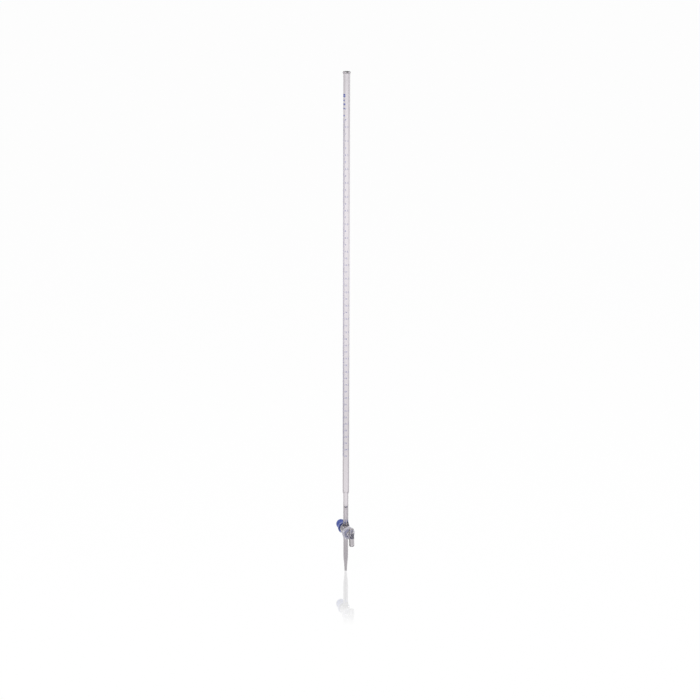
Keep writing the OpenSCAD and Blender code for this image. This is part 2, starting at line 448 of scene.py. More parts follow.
def spread(tree, value, low, high):
    """Maps a noise value's usual spread to the range from low to high."""
    ranged = tree.nodes.new("ShaderNodeMapRange")
    ranged.inputs["From Min"].default_value = NOISE_LOW
    ranged.inputs["From Max"].default_value = NOISE_HIGH
    link_all(
        tree,
        (value, ranged.inputs["Value"]),
        (low, ranged.inputs["To Min"]),
        (high, ranged.inputs["To Max"]),
    )
    return ranged.outputs["Result"]


def color_mix(tree, share, first, second):
    """Mixes two colours. The first is a node's output, the second that or a fixed colour."""
    mix = tree.nodes.new("ShaderNodeMix")
    mix.data_type = "RGBA"
    link_all(tree, (share, mix.inputs["Factor"]), (first, mix.inputs[6]))
    if isinstance(second, tuple):
        mix.inputs[7].default_value = second
    else:
        tree.links.new(second, mix.inputs[7])
    return mix.outputs[2]


print("noise is read from", NOISE_LOW, "to", NOISE_HIGH)

# %% [markdown]
# Moulded plastic, rubber, enamel and ground glass all have a fine grain. A group puts out only
# what changes over the surface: here two close tones in soft patches, a grain in the gloss and
# its relief. The shader and every constant stay in the material.

# %% Shader group for a moulded surface
moulded, given, result = new_group(
    "moulded_mottle",
    (
        ("Dark Color", COLOR, (0, 0, 0, 1)),
        ("Light Color", COLOR, (1, 1, 1, 1)),
        ("Patch Scale", FLOAT, 200),
        ("Grain Scale", FLOAT, 2000),
        ("Low Roughness", FLOAT, 0.3),
        ("High Roughness", FLOAT, 0.5),
    ),
    (("Color", COLOR), ("Roughness", FLOAT), ("Height", FLOAT)),
)
where = moulded.nodes.new("ShaderNodeTexCoord").outputs["Object"]
patches = noise(moulded, where, given["Patch Scale"], 3)
grain = noise(moulded, where, given["Grain Scale"], 2)
link_all(
    moulded,
    (color_mix(moulded, patches, given["Dark Color"], given["Light Color"]), result["Color"]),
    (spread(moulded, grain, given["Low Roughness"], given["High Roughness"]), result["Roughness"]),
    (grain, result["Height"]),
)
print("shader group:", moulded.name)

# %% [markdown]
# Glass that was drawn hot into a tube keeps faint streaks along its length. A noise that is
# stretched along the draw gives them, as a slight haze and a slight ripple. Tube and handle
# are drawn in different directions, so the stretch is an input of the group.

# %% Shader group for drawn glass
streaks, given, result = new_group(
    "drawn_streaks",
    (
        ("Stretch", VECTOR, (1, 1, 1)),
        ("Haze", FLOAT, 0.02),
    ),
    (("Roughness", FLOAT), ("Height", FLOAT)),
)
where = streaks.nodes.new("ShaderNodeTexCoord").outputs["Object"]
stretch = streaks.nodes.new("ShaderNodeVectorMath")
stretch.operation = "MULTIPLY"
link_all(streaks, (where, stretch.inputs[0]), (given["Stretch"], stretch.inputs[1]))
drawn = noise(streaks, stretch.outputs[0], 1.0, 2)
link_all(
    streaks,
    (math_node(streaks, "MULTIPLY", drawn, given["Haze"]), result["Roughness"]),
    (drawn, result["Height"]),
)
print("shader group:", streaks.name)

# %% [markdown]
# Clear glass is one shader for each closed piece, because light that enters through one
# finish and leaves through another would lose track of the glass it is inside. The ground
# socket in the barrel is full of grease, and a greased joint is nearly as clear as one piece
# of glass. So an attribute on its faces lowers the Alpha there, and the surface all but
# disappears. A faint mauve absorption gives thick walls their grey.

# %% Clear glass
GLASS_IOR = 1.473
GLASS_TINT = (0.5, 0.45, 0.52, 1)
RIPPLE_STRENGTH = 0.06
RIPPLE_HEIGHT = 0.1 * MM
JOINT_GREASE = 0.85


def clear_glass(name, density, stretch, greased=False):
    material, tree = new_material(name)
    shader = tree.nodes.new("ShaderNodeBsdfPrincipled")
    shader.inputs["Base Color"].default_value = (1, 1, 1, 1)
    shader.inputs["IOR"].default_value = GLASS_IOR
    shader.inputs["Transmission Weight"].default_value = 1
    drawn = tree.nodes.new("ShaderNodeGroup")
    drawn.node_tree = streaks
    drawn.inputs["Stretch"].default_value = stretch
    ripple = tree.nodes.new("ShaderNodeBump")
    ripple.inputs["Strength"].default_value = RIPPLE_STRENGTH
    ripple.inputs["Distance"].default_value = RIPPLE_HEIGHT
    soak = tree.nodes.new("ShaderNodeVolumeAbsorption")
    soak.inputs["Color"].default_value = GLASS_TINT
    soak.inputs["Density"].default_value = density
    output = tree.nodes.new("ShaderNodeOutputMaterial")
    if greased:
        ground = tree.nodes.new("ShaderNodeAttribute")
        ground.attribute_name = "ground"
        grease = math_node(tree, "MULTIPLY", ground.outputs["Fac"], JOINT_GREASE)
        tree.links.new(math_node(tree, "SUBTRACT", 1, grease), shader.inputs["Alpha"])
    link_all(
        tree,
        (drawn.outputs["Roughness"], shader.inputs["Roughness"]),
        (drawn.outputs["Height"], ripple.inputs["Height"]),
        (ripple.outputs[0], shader.inputs["Normal"]),
        (shader.outputs[0], output.inputs["Surface"]),
        (soak.outputs[0], output.inputs["Volume"]),
    )
    return material


body_glass = clear_glass("drawn_glass", density=70, stretch=(900, 900, 12), greased=True)
handle_glass = clear_glass("pressed_glass", density=20, stretch=(500, 60, 500))
print("glass finishes:", body_glass.name, handle_glass.name)

# %% [markdown]
# The other finishes are one idea: the moulded group on a Principled shader, with its own tones, scales and
# gloss. Some pieces have a place in another colour, which is painted light: a painted highlight on an edge,
# or a painted bluish tone for blue light seen through glass. An attribute on the faces marks it, so no
# second material and no extra cut is needed.

# %% Moulded finish
RELIEF_STRENGTH = 0.4
DULL_GLOSS = 0.3


def moulded_finish(name, tones, scales, roughness, relief, clear=0.0, marked=None):
    material, tree = new_material(name)
    shader = tree.nodes.new("ShaderNodeBsdfPrincipled")
    shader.inputs["IOR"].default_value = GLASS_IOR
    shader.inputs["Transmission Weight"].default_value = clear
    effect = tree.nodes.new("ShaderNodeGroup")
    effect.node_tree = moulded
    effect.inputs["Dark Color"].default_value = (*tones[0], 1)
    effect.inputs["Light Color"].default_value = (*tones[1], 1)
    effect.inputs["Patch Scale"].default_value = scales[0]
    effect.inputs["Grain Scale"].default_value = scales[1]
    effect.inputs["Low Roughness"].default_value = roughness[0]
    effect.inputs["High Roughness"].default_value = roughness[1]
    bump = tree.nodes.new("ShaderNodeBump")
    bump.inputs["Strength"].default_value = RELIEF_STRENGTH
    bump.inputs["Distance"].default_value = relief
    color = effect.outputs["Color"]
    # Where the face attribute is set, a painted-light tone is mixed into the colour: a painted highlight,
    # or painted blue light seen through glass.
    if marked:
        shader.inputs["Specular IOR Level"].default_value = DULL_GLOSS
        spots = tree.nodes.new("ShaderNodeAttribute")
        spots.attribute_name = "marked"
        color = color_mix(tree, spots.outputs["Fac"], color, (*marked, 1))
    link_all(
        tree,
        (color, shader.inputs["Base Color"]),
        (effect.outputs["Roughness"], shader.inputs["Roughness"]),
        (effect.outputs["Height"], bump.inputs["Height"]),
        (bump.outputs[0], shader.inputs["Normal"]),
        (shader.outputs[0], tree.nodes.new("ShaderNodeOutputMaterial").inputs["Surface"]),
    )
    return material


print("moulded finish has a relief strength of", RELIEF_STRENGTH)

# %% [markdown]
# The collar and nut are moulded in blue plastic with a satin gloss, and the collar's edges carry a pale
# painted highlight. The washer is turned from a waxy white one, the ring is black rubber, and the scale is
# fired blue enamel. The plug and the barrel's lip are ground matt, which half scatters the light. The blue
# of the collar shines through the plug, and a painted bluish tone on the plug's head and the lip stands for
# that light.

# %% Plastics, rubber, enamel and ground glass
blue_plastic = moulded_finish(
    "satin_blue",
    tones=((0.008, 0.04, 0.29), (0.018, 0.06, 0.37)),
    scales=(260, 2600),
    roughness=(0.2, 0.3),
    relief=0.02 * MM,
    # This pale tone is a painted highlight on the collar's front edge.
    marked=(0.2, 0.23, 0.42),
)
white_plastic = moulded_finish(
    "waxy_white",
    tones=((0.78, 0.78, 0.76), (0.86, 0.86, 0.84)),
    scales=(500, 3000),
    roughness=(0.42, 0.55),
    relief=0.02 * MM,
)
black_rubber = moulded_finish(
    "matt_rubber",
    tones=((0.012, 0.012, 0.013), (0.03, 0.03, 0.03)),
    scales=(700, 4000),
    roughness=(0.55, 0.75),
    relief=0.03 * MM,
)
blue_enamel = moulded_finish(
    "fired_enamel",
    tones=((0.045, 0.07, 0.3), (0.07, 0.1, 0.38)),
    scales=(1500, 5000),
    roughness=(0.2, 0.35),
    relief=0.01 * MM,
)
ground_glass = moulded_finish(
    "matt_ground_glass",
    tones=((0.82, 0.8, 0.83), (0.92, 0.9, 0.93)),
    scales=(800, 4000),
    roughness=(0.35, 0.5),
    relief=0.02 * MM,
    clear=0.3,
    # This bluish tone is painted light: the collar's blue seen through the plug and the lip.
    marked=(0.33, 0.335, 0.48),
)
finishes = (blue_plastic, white_plastic, black_rubber, blue_enamel, ground_glass)
print("moulded finishes:", *(finish.name for finish in finishes))

# %% [markdown]
# Every piece of a burette is turned or blown round an axis, so each is drawn as a profile of
# radius and height. Softened glass swings smoothly from one radius to another, and edges are
# parts of an ellipse, so two helpers give those points. A third fills long stretches in.

# %% Profiles
EASE_STEPS = 12
FINE_ROW = 1.2 * MM
PLAIN_ROW = 1.5 * MM


def ease(r0, z0, r1, z1, steps=EASE_STEPS):
    """Points that swing smoothly from one radius to another, as softened glass does."""
    points = []
    for step in range(steps + 1):
        share = step / steps
        swing = (1 - math.cos(math.pi * share)) / 2
        points.append((r0 + (r1 - r0) * swing, z0 + (z1 - z0) * share))
    return points


def arc(r, z, wide, tall, start, end, steps=8):
    """Points on part of an ellipse about (r, z), with its angles in degrees."""
    points = []
    for step in range(steps + 1):
        angle = math.radians(start + (end - start) * step / steps)
        points.append((r + wide * math.cos(angle), z + tall * math.sin(angle)))
    return points


def rows(points, longest):
    """The same profile with no stretch longer than the given length."""
    filled = [points[0]]
    for (r0, z0), (r1, z1) in zip(points, points[1:]):
        count = max(1, math.ceil(math.hypot(r1 - r0, z1 - z0) / longest))
        for step in range(1, count + 1):
            share = step / count
            filled.append((r0 + (r1 - r0) * share, z0 + (z1 - z0) * share))
    return filled


print("rows of a profile are", round(FINE_ROW / MM, 1), "or", round(PLAIN_ROW / MM, 1), "mm long")

# %% [markdown]
# One helper spins a profile into a mesh. It takes a rule for surfaces that aren't round, such
# as a thread or a flat. A Screw modifier could do the round ones, but not those. The place is
# put into the mesh, so every object stays at the origin.

# %% Spinning
def spin(profile, sides, rule=None, ring=False):
    """A bmesh of the profile turned about Z. A ring's profile closes on itself."""
    mesh = bmesh.new()
    loops = []
    for radius, height in profile:
        loop = []
        for step in range(sides if radius > 0 else 1):
            angle = 2 * math.pi * step / sides
            reach = rule(radius, height, angle) if rule else radius
            loop.append(mesh.verts.new((reach * math.cos(angle), reach * math.sin(angle), height)))
        loops.append(loop)
    for low, high in zip(loops, loops[1:] + (loops[:1] if ring else [])):
        for step in range(sides):
            after = (step + 1) % sides
            corners = [low[step % len(low)], low[after % len(low)]]
            corners += [high[after % len(high)], high[step % len(high)]]
            mesh.faces.new(list(dict.fromkeys(corners)))
    bmesh.ops.recalc_face_normals(mesh, faces=mesh.faces)
    return mesh


def new_piece(name, mesh, place=Matrix()):
    data = bpy.data.meshes.new(name)
    mesh.to_mesh(data)
    mesh.free()
    data.transform(place)
    return add_object(name, data)


print("profiles are spun about Z and then laid in place")

# %% [markdown]
# Fused glass is made by joining solids, and bores by cutting them. A Boolean can leave hairline slits along
# a cut, and light in glass would leak through those, so each cut is welded. A finished piece gets its
# finish, its body and the solids it stands for.

# %% Joining, cutting and handing over
WELD = 0.002 * MM
CREASE = math.radians(32)


def settle(piece):
    """Turns a piece and its modifiers into one plain mesh."""
    ready = piece.evaluated_get(bpy.context.evaluated_depsgraph_get())
    data = bpy.data.meshes.new_from_object(ready)
    piece.modifiers.clear()
    piece.data = data


def weld(piece):
    mesh = bmesh.new()
    mesh.from_mesh(piece.data)
    bmesh.ops.remove_doubles(mesh, verts=mesh.verts, dist=WELD)
    bmesh.ops.dissolve_degenerate(mesh, edges=mesh.edges, dist=WELD)
    mesh.to_mesh(piece.data)
    mesh.free()


def join_or_cut(piece, tool, operation):
    step = piece.modifiers.new("step", "BOOLEAN")
    step.operation = operation
    step.solver = "EXACT"
    step.object = tool
    settle(piece)
    weld(piece)
    bpy.data.objects.remove(tool)


def hand_over(piece, material, body, slot, *nodes):
    """Shades a finished piece, gives it its finish and sets it on its body."""
    if material:
        piece.data.materials.clear()
        piece.data.materials.append(material)
    piece.data.shade_smooth()
    piece.data.set_sharp_from_angle(angle=CREASE)
    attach(piece, body)
    if nodes:
        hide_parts(*nodes)
    spots = [vert.co / MM for vert in piece.data.vertices]
    low, high = ([round(limit(spot[i] for spot in spots), 2) for i in range(3)] for limit in (min, max))
    print(piece.name, len(piece.data.polygons), "faces, from", low, "to", high, "mm")


print("cuts are welded at", round(WELD / MM, 4), "mm")

# %% [markdown]
# The burette's body is blown as one: tube, neck, capillary arm, barrel and jet are fused, so
# here they are one closed wall of glass. The outside is spun first, as a solid. Separate
# pieces would show inner faces at each seam, which fused glass doesn't have.

# %% Outside of the glass
TUBE_SIDES = 96
LONG_ROW = 9 * MM
TIP_R = 2.0 * MM
TIP_ROUND = 0.5 * MM
JET_TAPER = 27 * MM
STUB_FLARE = 1.3 * MM
NECK_SEAM = 1 * MM
SHOULDER = 6 * MM
RIM_HEIGHT = 3.4 * MM
RIM_CROWN = 2.0 * MM
PLUG_R = 6.0 * MM

neck_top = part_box("measuring_tube")[0].z
rim_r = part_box("measuring_tube")[1].x
neck_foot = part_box("neck_tube")[0].z
neck_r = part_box("neck_tube")[1].x
stub_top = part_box("inlet_arm")[0].z
arm_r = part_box("inlet_arm")[1].x
stub_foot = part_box("jet_tip")[1].z

rim_middle = (bore_r + rim_r) / 2
crown_foot = rim_top - RIM_CROWN
outside = [(0, 0)]
outside += arc(TIP_R - TIP_ROUND, TIP_ROUND, TIP_ROUND, TIP_ROUND, -90, 0, steps=4)
outside += ease(TIP_R, TIP_ROUND, jet_r, JET_TAPER)[1:]
outside += ease(jet_r, stub_foot, jet_r + STUB_FLARE, key_z - PLUG_R)
outside += ease(arm_r + STUB_FLARE, key_z + PLUG_R, arm_r, stub_top)
outside += ease(arm_r, neck_foot, neck_r, neck_foot + NECK_SEAM, steps=4)
outside += ease(neck_r, neck_top, tube_r, neck_top + SHOULDER)
outside += arc(tube_r, crown_foot, rim_r - tube_r, RIM_HEIGHT - RIM_CROWN, -90, 0, steps=6)
outside += arc(rim_middle, crown_foot, rim_r - rim_middle, RIM_CROWN, 0, 90)[1:]
outside += [(0, rim_top)]
low_part = [point for point in outside if point[1] < stub_top]
high_part = [point for point in outside if point[1] >= stub_top]
outside = rows(low_part, FINE_ROW) + rows(high_part, LONG_ROW)
burette = new_piece("burette_glass", spin(outside, TUBE_SIDES))
print("outside profile has", len(outside), "rows")

# %% [markdown]
# The barrel lies across the tube and is joined to it. Its socket is a taper that narrows
# towards the nut, so that the nut draws the plug tight, and it is cut through both.

# %% Barrel and socket
PLUG_TAPER = 0.05
BARREL_WALL = 2.3 * MM
BARREL_EDGE = 0.5 * MM
LIP_WIDTH = 3 * MM
GROUND_GAP = 0.03 * MM
FUSED_GAP = 0.02 * MM
SPARE = 1 * MM

barrel_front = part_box("stopcock_barrel")[0].y
barrel_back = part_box("stopcock_barrel")[1].y
across_key = Matrix.Translation((0, 0, key_z)) @ Matrix.Rotation(math.radians(-90), 4, "X")


def plug_radius(along):
    """Radius of the ground taper, which narrows towards the nut."""
    return PLUG_R - PLUG_TAPER * along


def socket_radius(along):
    return plug_radius(along) + GROUND_GAP


front_r = plug_radius(barrel_front) + BARREL_WALL
back_r = plug_radius(barrel_back) + BARREL_WALL
lip_back = barrel_front + LIP_WIDTH
barrel = [(0, lip_back + FUSED_GAP), (front_r, lip_back + FUSED_GAP)]
barrel += arc(back_r - BARREL_EDGE, barrel_back - BARREL_EDGE, BARREL_EDGE, BARREL_EDGE, 0, 90, steps=5)
barrel += [(0, barrel_back)]
barrel_tool = new_piece("barrel", spin(rows(barrel, FINE_ROW), TUBE_SIDES), across_key)
join_or_cut(burette, barrel_tool, "UNION")

past_back = barrel_back + SPARE
socket = [(0, barrel_front), (socket_radius(barrel_front), barrel_front)]
socket += [(socket_radius(past_back), past_back), (0, past_back)]
socket_tool = new_piece("socket", spin(rows(socket, PLAIN_ROW), TUBE_SIDES), across_key)
join_or_cut(burette, socket_tool, "DIFFERENCE")
print("barrel", round((barrel_back - barrel_front) / MM, 1), "mm long")

# %% [markdown]
# The bore runs the whole height: a hair-fine jet, the capillary through the barrel, a small
# funnel at the seam and then the measuring bore up to the rounded rim. It is one tool that is
# cut out of the finished outside, so the wall is closed all round.

# %% Bore
BORE_ROW = 6 * MM
ARM_BORE_R = 1.25 * MM
FUNNEL = 1.5 * MM
NECK_WALL = 1.3 * MM
BORE_SHOULDER = (3 * MM, 7 * MM)
TIP_BORE_LENGTH = 10 * MM

neck_bore_r = neck_r - NECK_WALL
bore_foot, bore_head = (neck_top + step for step in BORE_SHOULDER)
bore = [(0, -SPARE), (tip_bore_r, -SPARE)]
bore += ease(tip_bore_r, TIP_BORE_LENGTH, ARM_BORE_R, JET_TAPER)
bore += ease(ARM_BORE_R, neck_foot - FUNNEL, neck_bore_r, neck_foot)
bore += ease(neck_bore_r, bore_foot, bore_r, bore_head)
bore += arc(rim_middle, crown_foot, rim_middle - bore_r, RIM_CROWN, 180, 90)
bore += [(rim_middle, rim_top + SPARE), (0, rim_top + SPARE)]
join_or_cut(burette, new_piece("bore", spin(rows(bore, BORE_ROW), TUBE_SIDES)), "DIFFERENCE")
print("burette glass has", len(burette.data.polygons), "faces")

# %% [markdown]
# Only the taper of the socket is ground and greased. Its faces are found by their distance
# from the key's axis, and marked with an attribute for the glass to read. With that the body
# is finished, and it stands for the five fused solids.

# %% Grease in the socket
GROUND_TOLERANCE = 0.06 * MM


def mark_faces(piece, label, rule):
    """Writes a share from zero to one on each face, for a material to read."""
    marks = piece.data.attributes.new(label, "FLOAT", "FACE")
    shares = [float(rule(face)) for face in piece.data.polygons]
    marks.data.foreach_set("value", shares)
    print(piece.name, sum(share > 0 for share in shares), label, "faces")


def on_taper(face):
    away = math.hypot(face.center.x, face.center.z - key_z)
    within = barrel_front < face.center.y < barrel_back
    return within and abs(away - plug_radius(face.center.y)) < GROUND_TOLERANCE


fused = ("measuring_tube", "neck_tube", "inlet_arm", "stopcock_barrel", "jet_tip")
mark_faces(burette, "ground", on_taper)
hand_over(burette, body_glass, "burette", "clear_glass", *fused)

# %% [markdown]
# The lip round the barrel's mouth is matt, and scatters the light. Clear glass of that shape
# would show only dark bands, so the lip is a ring of its own in the ground finish, set
# against the barrel without a visible gap.

# %% Lip of the barrel
LIP_BULGE = 1.2 * MM
LIP_STEPS = 14
# Share of the painted bluish tone on the lip, which stands for the collar's blue light seen through the
# glass.
LIP_PAINTED_BLUE = 0.4

lip_middle = barrel_front + LIP_WIDTH / 2
lip = [(socket_radius(barrel_front), barrel_front)]
lip += arc(front_r, lip_middle, LIP_BULGE, LIP_WIDTH / 2, -90, 90, LIP_STEPS)
lip += [(socket_radius(lip_back), lip_back)]
barrel_lip = new_piece("barrel_lip", spin(rows(lip, FINE_ROW), TUBE_SIDES, ring=True), across_key)
# The whole lip gets part of the painted bluish tone.
mark_faces(barrel_lip, "marked", lambda face: LIP_PAINTED_BLUE)
hand_over(barrel_lip, ground_glass, "burette", "ground_glass")

# %% [markdown]
# The key is a solid ground plug with a threaded tail. A thread is a helix, which a plain spin
# doesn't give, so a rule changes the radius with the angle. It cuts the thread, lets it fade
# in and out, and makes the flat that gives the tail its D shape.

# %% Rule for the thread
PLUG_BACK = 9.5 * MM
TAIL_FLAT = 3.2 * MM
TAIL_ROW = 0.2 * MM
THREAD_DEPTH = 0.55 * MM
THREAD_FADE = 1.5 * MM
THREAD_FULLNESS = 0.8

tail_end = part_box("key_plug")[1].y
thread_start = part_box("slip_washer")[0].y


def thread_wave(height, angle):
    """Zero in a thread's root and one on its crest, along a right-hand helix."""
    turn = height / thread_lead - angle / (2 * math.pi)
    return (0.5 + 0.5 * math.cos(2 * math.pi * turn)) ** THREAD_FULLNESS


def faded_in(distance):
    """Rises from zero to one over the length in which a thread runs out."""
    return min(1, max(0, distance / THREAD_FADE))


def tail_rule(radius, height, angle):
    if height < PLUG_BACK + TAIL_ROW / 2:
        return radius
    depth = THREAD_DEPTH * min(faded_in(height - thread_start), faded_in(tail_end - height))
    reach = radius - depth * (1 - thread_wave(height, angle))
    if math.cos(angle) > 0:
        reach = min(reach, TAIL_FLAT / math.cos(angle))
    return reach


print("thread of", round((tail_end - thread_start) / thread_lead, 1), "turns")

# %% [markdown]
# The plug is a ground taper with a rounded head. It is spun along its own axis, bored across and then
# turned to lie across the tube. Its bore runs along the bar, so an upright bar is an open tap. The faces of
# its head, which stand out of the barrel, get the painted bluish tone that stands for the collar's blue
# light seen through the plug.

# %% Plug and threaded tail
KEY_LEAN = math.radians(2)
HEAD_ROUND = 1.2 * MM
HEAD_PROUD = 0.2 * MM
PLUG_EDGE = 0.4 * MM
PLUG_BORE_R = 1.1 * MM
PLUG_BORE_SIDES = 48
TAIL_R = 4.0 * MM
TAIL_EDGE = 0.5 * MM

head_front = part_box("key_plug")[0].y
along_key = across_key @ Matrix.Rotation(-KEY_LEAN, 4, "Z")
head_shoulder = head_front + HEAD_ROUND
edge_start = PLUG_BACK - PLUG_EDGE
plug = [(0, head_front)]
plug += arc(plug_radius(head_shoulder) - HEAD_ROUND, head_shoulder, HEAD_ROUND, HEAD_ROUND, -90, 0, steps=6)
plug += [(plug_radius(edge_start), edge_start), (plug_radius(PLUG_BACK) - PLUG_EDGE, PLUG_BACK)]
tail = [(TAIL_R, PLUG_BACK), (TAIL_R, PLUG_BACK + TAIL_ROW), (TAIL_R, tail_end - TAIL_EDGE)]
tail += [(TAIL_R - TAIL_EDGE, tail_end), (0, tail_end)]
profile = rows(plug, FINE_ROW) + rows(tail, TAIL_ROW)
key_plug = new_piece("ground_plug", spin(profile, TUBE_SIDES, tail_rule))

bore_half = PLUG_R + SPARE
through = [(0, -bore_half), (PLUG_BORE_R, -bore_half), (PLUG_BORE_R, bore_half), (0, bore_half)]
bore_across = Matrix.Rotation(math.radians(90), 4, "X")
join_or_cut(key_plug, new_piece("through", spin(through, PLUG_BORE_SIDES), bore_across), "DIFFERENCE")
key_plug.data.transform(along_key)
# The head's faces get the painted bluish tone for the collar's blue light.
mark_faces(key_plug, "marked", lambda face: face.center.y < barrel_front - HEAD_PROUD)
hand_over(key_plug, ground_glass, "key", "ground_glass", "key_plug")

# %% [markdown]
# A clear T-bar is fused on the plug's wide end. Glass that is fused by hand has no sharp inner
# corner, so stem and bar are joined, remeshed and smoothed until the corner has flowed.

# %% Stem and bar of the handle
HANDLE_SIDES = 64
STEM_R = 4.0 * MM
STEM_FLARE = 1.0 * MM
STEM_SWELL = 5 * MM
BAR_R = 4.15 * MM
BAR_ROUND = 1.6 * MM
BAR_HALF = 15 * MM
BAR_DROP = 1 * MM
MELT_VOXEL = 0.35 * MM
MELT_FLOW = 12

bar_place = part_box("key_handle")[0].y + BAR_R
stem_end = head_front - FUSED_GAP
stem = [(0, bar_place), (STEM_R, bar_place)]
stem += ease(STEM_R, head_front - STEM_SWELL, STEM_R + STEM_FLARE, stem_end)
stem += [(0, stem_end)]
key_handle = new_piece("glass_handle", spin(rows(stem, FINE_ROW), HANDLE_SIDES))

bar = [(0, -BAR_HALF)]
bar += arc(BAR_R - BAR_ROUND, BAR_ROUND - BAR_HALF, BAR_ROUND, BAR_ROUND, -90, 0)
bar += arc(BAR_R - BAR_ROUND, BAR_HALF - BAR_ROUND, BAR_ROUND, BAR_ROUND, 0, 90)
bar += [(0, BAR_HALF)]
lie_down = Matrix.Translation((0, BAR_DROP, bar_place)) @ Matrix.Rotation(math.radians(90), 4, "X")
join_or_cut(key_handle, new_piece("bar", spin(rows(bar, FINE_ROW), HANDLE_SIDES), lie_down), "UNION")
melt = key_handle.modifiers.new("melt", "REMESH")
melt.voxel_size = MELT_VOXEL
flow = key_handle.modifiers.new("flow", "SMOOTH")
flow.iterations = MELT_FLOW
settle(key_handle)
key_handle.data.transform(along_key)
hand_over(key_handle, handle_glass, "key", "clear_glass", "key_handle")

# %% [markdown]
# Behind the barrel sit the parts that hold the key in: a collar with a pocket, a rubber ring, a slip washer
# and the nut. Collar and washer have a D-shaped bore on the tail's flat, so they turn with the key and the
# nut isn't rubbed loose. The collar's front has a pale painted highlight that is strongest round its edge,
# and there is a little painted light on the front face itself, which the barrel shades.

# %% Collar
RING_SIDES = 96
SLIP_GAP = 0.1 * MM
SMALL_EDGE = 0.25 * MM
POCKET_R = 6.2 * MM
COLLAR_FLOOR = 2.6 * MM
COLLAR_ROUND = 0.6 * MM
COLLAR_TAPER = 0.5 * MM
# Shares of painted light on the collar: a painted highlight on the bevel, and a weaker one on the front
# face that the barrel shades.
FACE_PAINTED_LIGHT = 0.3
FLAT_SLOPE = -0.9
EDGE_SLOPE = -0.4

d_bore_r = TAIL_R + SLIP_GAP


def d_bore(radius, height, angle):
    """Flattens only the bore, on the side where the tail is flat."""
    if radius > d_bore_r + SMALL_EDGE or math.cos(angle) <= 0:
        return radius
    return min(radius, (TAIL_FLAT + SLIP_GAP + radius - d_bore_r) / math.cos(angle))


def painted_highlight_share(face):
    """Painted highlight: one on the bevel round the collar's front, and a weaker painted light on the front
    face itself.
    """
    if FLAT_SLOPE < face.normal.y < EDGE_SLOPE:
        return 1
    return FACE_PAINTED_LIGHT if face.normal.y < FLAT_SLOPE else 0


collar_low, collar_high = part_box("thrust_collar")
collar_r = (collar_high.x - collar_low.x) / 2
round_r = collar_r - COLLAR_TAPER - COLLAR_ROUND
pocket_end = collar_low.y + COLLAR_FLOOR
collar = [(d_bore_r, collar_low.y)]
collar += [(collar_r - COLLAR_ROUND, collar_low.y), (collar_r, collar_low.y + COLLAR_ROUND)]
collar += arc(round_r, collar_high.y - COLLAR_ROUND, COLLAR_ROUND, COLLAR_ROUND, 0, 90)
collar += [(POCKET_R + SMALL_EDGE, collar_high.y), (POCKET_R, collar_high.y - SMALL_EDGE)]
collar += [(POCKET_R, pocket_end), (d_bore_r, pocket_end)]
collar_mesh = spin(rows(collar, PLAIN_ROW), RING_SIDES, d_bore, ring=True)
thrust_collar = new_piece("blue_collar", collar_mesh, along_key)
# The collar's pale tone is painted light: a highlight on the front bevel and a lift of the shaded front
# face.
mark_faces(thrust_collar, "marked", painted_highlight_share)
hand_over(thrust_collar, blue_plastic, "key", "blue_plastic", "thrust_collar")

# %% [markdown]
# The ring is a plain rubber O-ring in the collar's pocket, which acts as a spring. The washer
# is a thin disc of slippery plastic with its edges broken.

# %% Ring and washer
SEAL_R = 5.1 * MM
SEAL_SECTION_R = 1.0 * MM
SEAL_POINTS = 24
SEAL_SIDES = 72

seal_low, seal_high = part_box("seal_ring")
seal_middle = (seal_low.y + seal_high.y) / 2
last_point = 360 - 360 / SEAL_POINTS
seal = arc(SEAL_R, seal_middle, SEAL_SECTION_R, SEAL_SECTION_R, 0, last_point, SEAL_POINTS - 1)
seal_ring = new_piece("rubber_ring", spin(seal, SEAL_SIDES, ring=True), along_key)
hand_over(seal_ring, black_rubber, "key", "black_rubber", "seal_ring")

washer_low, washer_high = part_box("slip_washer")
washer_r = (washer_high.x - washer_low.x) / 2
washer = [(d_bore_r, washer_low.y), (washer_r - SMALL_EDGE, washer_low.y)]
washer += [(washer_r, washer_low.y + SMALL_EDGE), (washer_r, washer_high.y - SMALL_EDGE)]
washer += [(washer_r - SMALL_EDGE, washer_high.y), (d_bore_r, washer_high.y)]
washer_mesh = spin(rows(washer, FINE_ROW), RING_SIDES, d_bore, ring=True)
slip_washer = new_piece("white_washer", washer_mesh, along_key)
hand_over(slip_washer, white_plastic, "washer", "white_plastic", "slip_washer")

# %% [markdown]
# The nut is a thick sleeve with grip ribs. Its body is spun like the plug, with the same helix
# in its bore, so the two threads fit.

# %% Nut body
NUT_BORE_R = 4.15 * MM
NUT_THREAD = 0.35 * MM
NUT_R = 7.25 * MM
NUT_ROUND = 0.3 * MM
NUT_EDGE = 0.5 * MM
NUT_ROW = 0.25 * MM
BORE_TOLERANCE = 0.01 * MM

nut_low, nut_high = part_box("retaining_nut")


def nut_rule(radius, height, angle):
    if radius > NUT_BORE_R + BORE_TOLERANCE:
        return radius
    inside = faded_in(min(height - nut_low.y, nut_high.y - height))
    return radius + NUT_THREAD * inside * thread_wave(height, angle)


sleeve = [(NUT_BORE_R + NUT_EDGE, nut_low.y), (NUT_R - NUT_EDGE, nut_low.y)]
sleeve += [(NUT_R, nut_low.y + NUT_EDGE)]
sleeve += arc(NUT_R - NUT_ROUND, nut_high.y - NUT_ROUND, NUT_ROUND, NUT_ROUND, 0, 90)
sleeve += [(NUT_BORE_R + NUT_EDGE, nut_high.y), (NUT_BORE_R, nut_high.y - NUT_EDGE)]
thread_rows = rows([sleeve[-1], (NUT_BORE_R, nut_low.y + NUT_EDGE)], NUT_ROW)
sleeve = rows(sleeve, PLAIN_ROW) + thread_rows[1:]
nut = new_piece("blue_nut", spin(sleeve, RING_SIDES, nut_rule, ring=True))
print("nut body has", len(nut.data.polygons), "faces")

